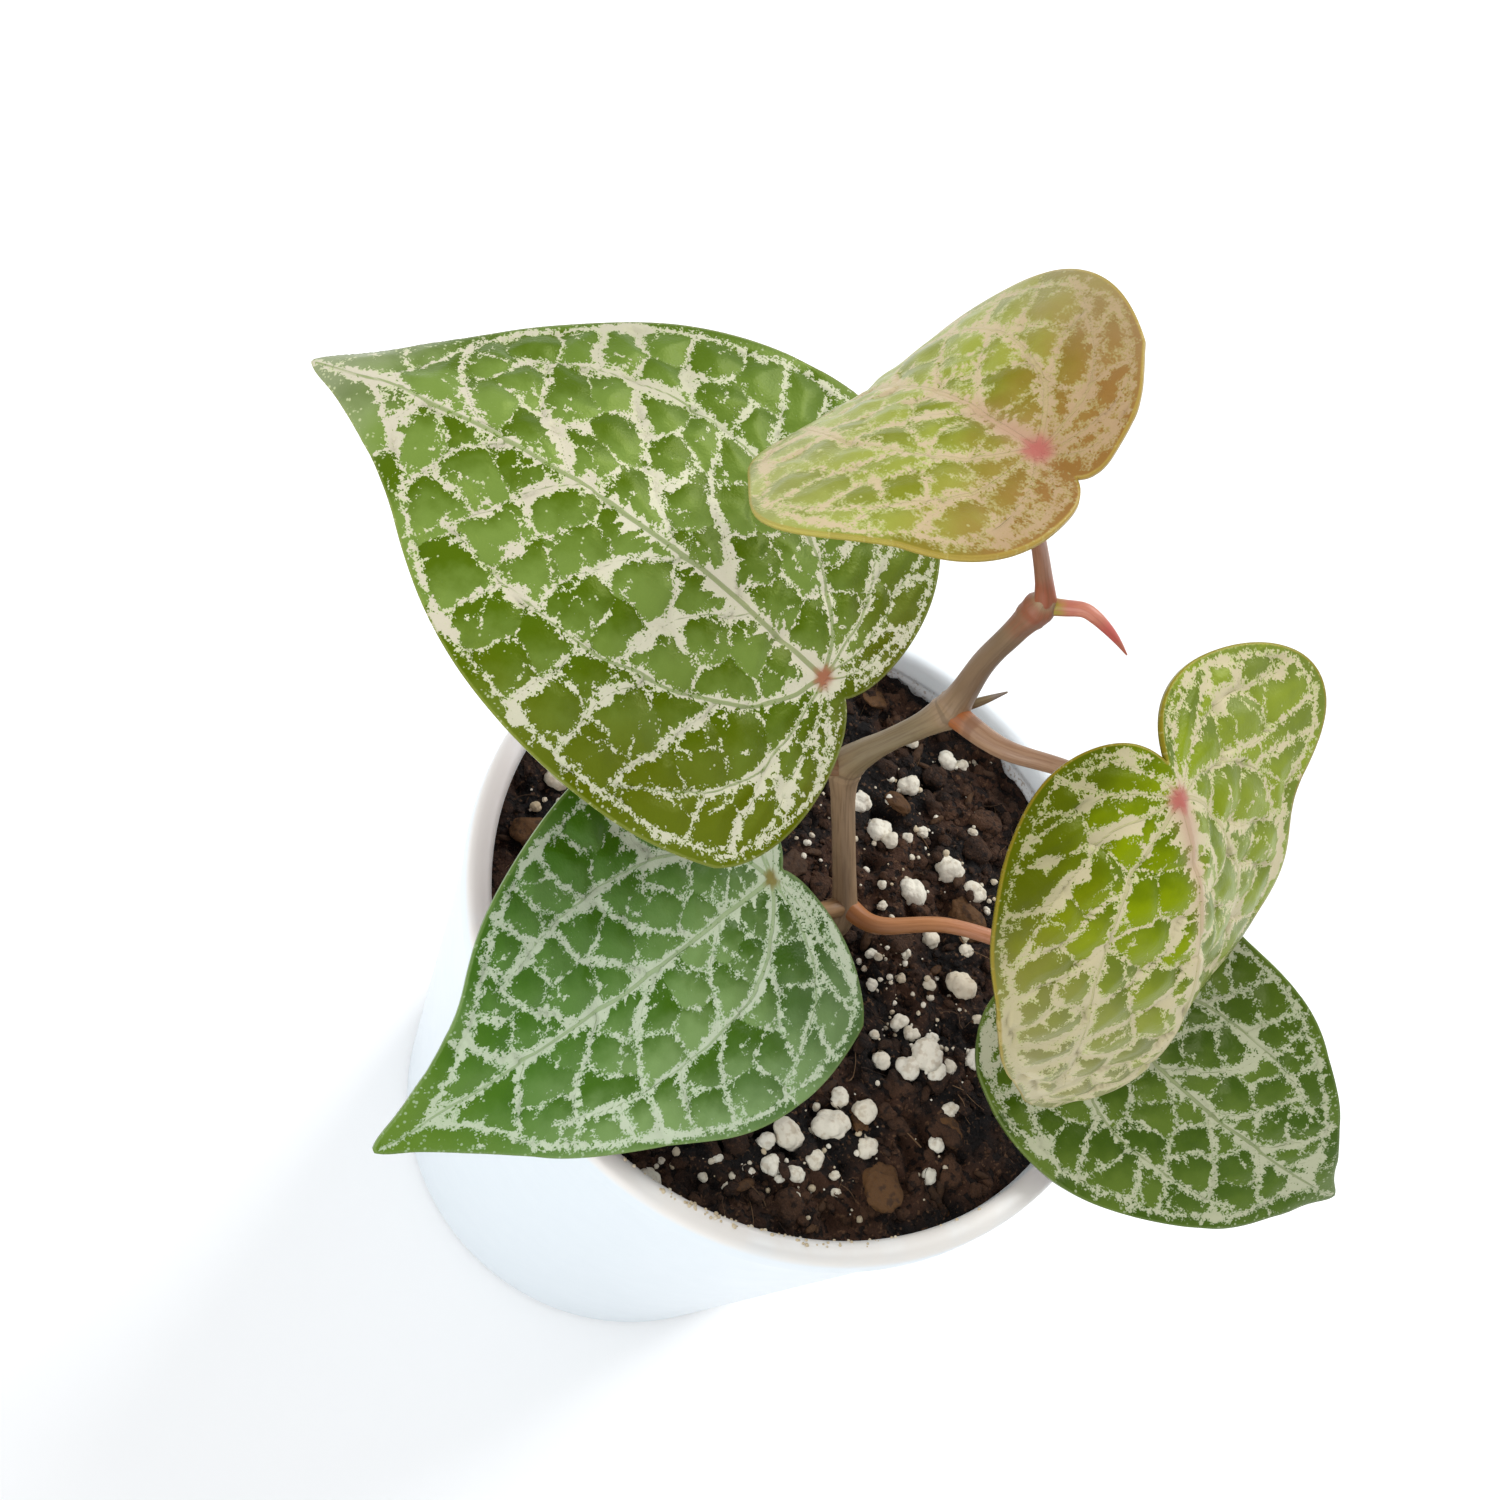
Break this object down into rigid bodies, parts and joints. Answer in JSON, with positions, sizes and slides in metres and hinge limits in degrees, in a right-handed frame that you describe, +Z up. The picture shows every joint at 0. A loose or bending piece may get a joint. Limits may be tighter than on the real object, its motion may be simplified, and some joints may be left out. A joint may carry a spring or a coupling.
{
  "type": "potted ornamental pepper vine",
  "caption": "Young climbing pepper vine with heart-shaped, net-veined leaves on a zigzag stem, rooted in soil in a small round tapered nursery pot with a rolled lip.",
  "frame": {"origin": "centre of the pot's flat base, on the surface that the pot stands on", "axes": "+Z up along the pot's axis; -X towards the side where the largest leaf hangs over the rim; -Y towards the viewer"},
  "size_m": [0.1329, 0.0905, 0.1503],
  "materials": {
    "pot_plastic": "smooth satin white plastic",
    "potting_soil": "loose dark crumbs with white perlite grains",
    "stem_brown": "matt, finely ridged",
    "stalk_salmon": "smooth satin",
    "bud_pink": "smooth satin",
    "leaf_a_green": "satin mid-green cells with a silvery pink net above, dark maroon below",
    "leaf_b_green": "satin blue-green cells with a silvery net above, dark maroon below",
    "leaf_c_green": "satin yellow-green cells with a cream net and an orange edge above, maroon below",
    "leaf_d_green": "satin bright yellow-green cells with a silvery pink net above, maroon below",
    "leaf_e_green": "satin dark green cells with a pale net above, dark maroon below"
  },
  "bodies": {
    "root": {"pot": "pot_plastic", "soil": "potting_soil", "stem": "stem_brown", "dry_scale": "stem_brown", "stalk_a": "stalk_salmon", "stalk_b": "stalk_salmon", "stalk_c": "stalk_salmon", "stalk_d": "stalk_salmon", "stalk_e": "stalk_salmon", "shoot_bud": "bud_pink", "leaf_a": "leaf_a_green", "leaf_b": "leaf_b_green", "leaf_c": "leaf_c_green", "leaf_d": "leaf_d_green", "leaf_e": "leaf_e_green"}
  },
  "joints": []
}
